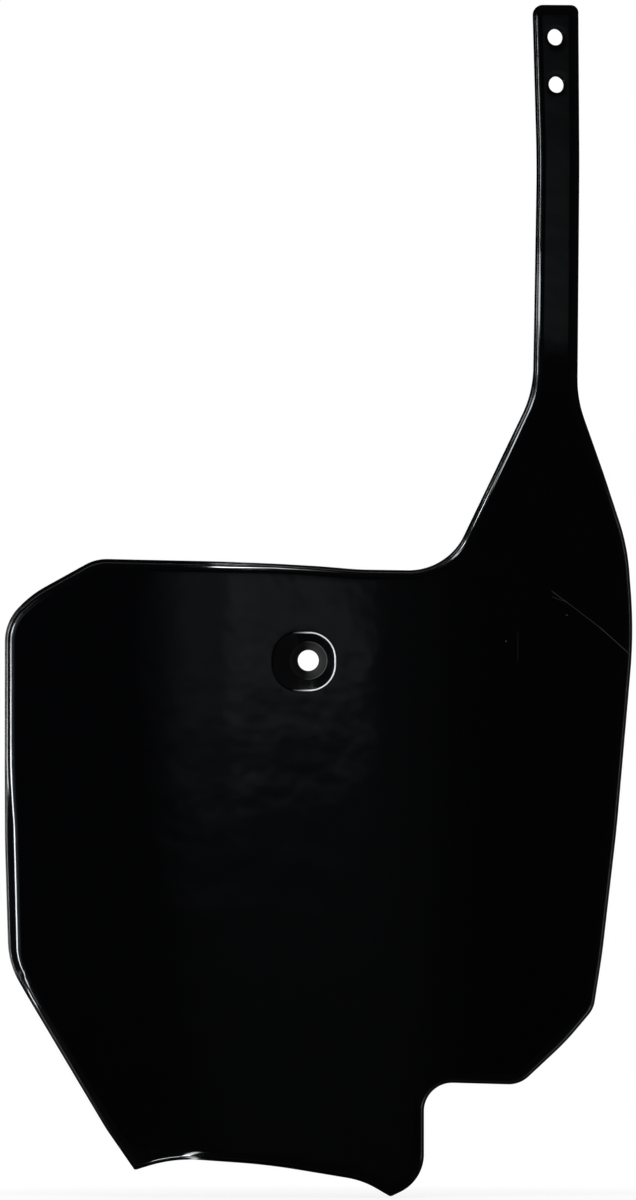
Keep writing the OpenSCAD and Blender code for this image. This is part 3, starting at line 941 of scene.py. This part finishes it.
# %% [markdown]
# The front card stands a metre before the board. The flat face mirrors it as the
# faint cloud of light left of the middle, strongest near the top edge, and the
# swept wings stretch the cloud sideways. It is the sum of a few soft round spots,
# each with a place, two half sizes and a strength, because a ramp can only make
# bands.
# %% Card in front
FRONT_Y, FRONT_W, FRONT_H = -1.0, 2.4, 1.4
SPOTS = (
    (0.02, 0.006, 0.045, 0.04, 0.4),
    (-0.06, 0.035, 0.11, 0.11, 0.30),
    (-0.30, 0.02, 0.42, 0.13, 0.16),
    (0.05, 0.0, 0.75, 0.5, 0.04),
    (0.72, 0.31, 0.4, 0.13, 0.16),
    (0.72, 0.42, 0.4, 0.2, 0.1),
)


def front_spots(across, upwards):
    light = 0.0
    for x, z, half_x, half_z, strength in SPOTS:
        gap_x = (across - (x / FRONT_W + 0.5)) * (FRONT_W / half_x)
        gap_z = (upwards - (z / FRONT_H + 0.5)) * (FRONT_H / half_z)
        gap = (gap_x * gap_x + gap_z * gap_z) ** 0.5
        light = light + (1 - gap.soft_step(0, 1)) * strength
    return light


add_card("front_card", (0, FRONT_Y, 0), (0, 0, 0), FRONT_W, FRONT_H, front_spots)

# %% [markdown]
# The cards at the left. The bend of the lip mirrors the tall narrow one as the
# bright line down the left edge and up the strap. Its stops are heights with the
# brightness there, which is how the line gets stronger and weaker as in the
# photograph. The weak wide one adds the soft glow beside that line.
# %% Cards at the left
LEFT_X, LEFT_Y, LEFT_W = -1.1, 0.02, 0.28
LEFT_LOW, LEFT_HIGH = -0.7, 0.9
LEFT_STOPS = (
    (-0.7, 0.0), (-0.48, 0.0), (-0.45, 0.5), (-0.28, 0.65), (-0.12, 0.75), (-0.085, 1.0),
    (-0.05, 1.0), (-0.02, 0.55), (0.02, 0.35), (0.08, 0.3), (0.12, 0.4), (0.2, 0.6),
    (0.283, 0.4), (0.298, 0.7), (0.315, 0.36), (0.34, 0.06), (0.5, 0.04), (0.7, 0.02),
    (0.9, 0.0),
)
left_middle = (LEFT_LOW + LEFT_HIGH) / 2
add_card("left_card", (LEFT_X, LEFT_Y, left_middle), (0, LEFT_Y, left_middle),
         LEFT_W, LEFT_HIGH - LEFT_LOW,
         ramp_profile(shares(LEFT_LOW, LEFT_HIGH, LEFT_STOPS), 34, 0.12))
add_card("left_glow_card", (LEFT_X, -0.75, 0.1), (0, -0.75, 0.1), 1.2, 1.0,
         ramp_profile(((0, 1), (0.35, 0.45), (1, 0)), 0.7, 0.2, level=True))

# %% [markdown]
# The card above the top edge. The lip there turns away from all the other cards, so
# a small card close over it draws the bright line on the middle stretch of the edge.
# Its stops run from left to right, and the line fades out with them.
# %% Card above
TOP_LOW, TOP_HIGH = -0.042, 0.022
TOP_Y, TOP_Z, TOP_DEPTH = 0.008, 0.12, 0.03
TOP_STOPS = ((-0.042, 0.0), (-0.0395, 1.0), (-0.0246, 0.9), (-0.018, 0.29), (-0.012, 0.25),
             (-0.0057, 0.3), (0.0, 0.1), (0.009, 0.02), (0.022, 0.0))
top_middle = (TOP_LOW + TOP_HIGH) / 2
add_card("top_card", (top_middle, TOP_Y, TOP_Z), (top_middle, TOP_Y, 0),
         TOP_HIGH - TOP_LOW, TOP_DEPTH,
         ramp_profile(shares(TOP_LOW, TOP_HIGH, TOP_STOPS), 46, 0.2, level=True))

# %% [markdown]
# Four small cards close to the board. Each gives one line that only a short stretch
# of the lip shows: along the taper below the strap, at the lower left corner, and
# the small bright fleck with its tail at the bottom edge. A larger card further off
# would light more of the lip than the photograph shows.
# %% Small cards
EVEN = ((0, 1), (1, 1))
add_card("shoulder_card", (-0.02, -0.045, 0.158), (0.085, -0.045, 0.158), 0.1, 0.028,
         ramp_profile(EVEN, 18, 0.2))
add_card("heel_card", (-0.192, 0.0875, -0.1695), (-0.105, 0.0155, -0.13), 0.03, 0.012,
         ramp_profile(EVEN, 14, 0.2))
add_card("tail_card", (-0.0474, 0.0, floor_z + 1.2 * MM), (-0.0474, 0.0, 0), 0.0026, 0.032,
         ramp_profile(EVEN, 16, 0.1))
add_card("tail_end_card", (-0.053, 0.029, floor_z + 1.6 * MM), (-0.053, 0.029, 0), 0.01, 0.014,
         ramp_profile(EVEN, 5, 0.1))
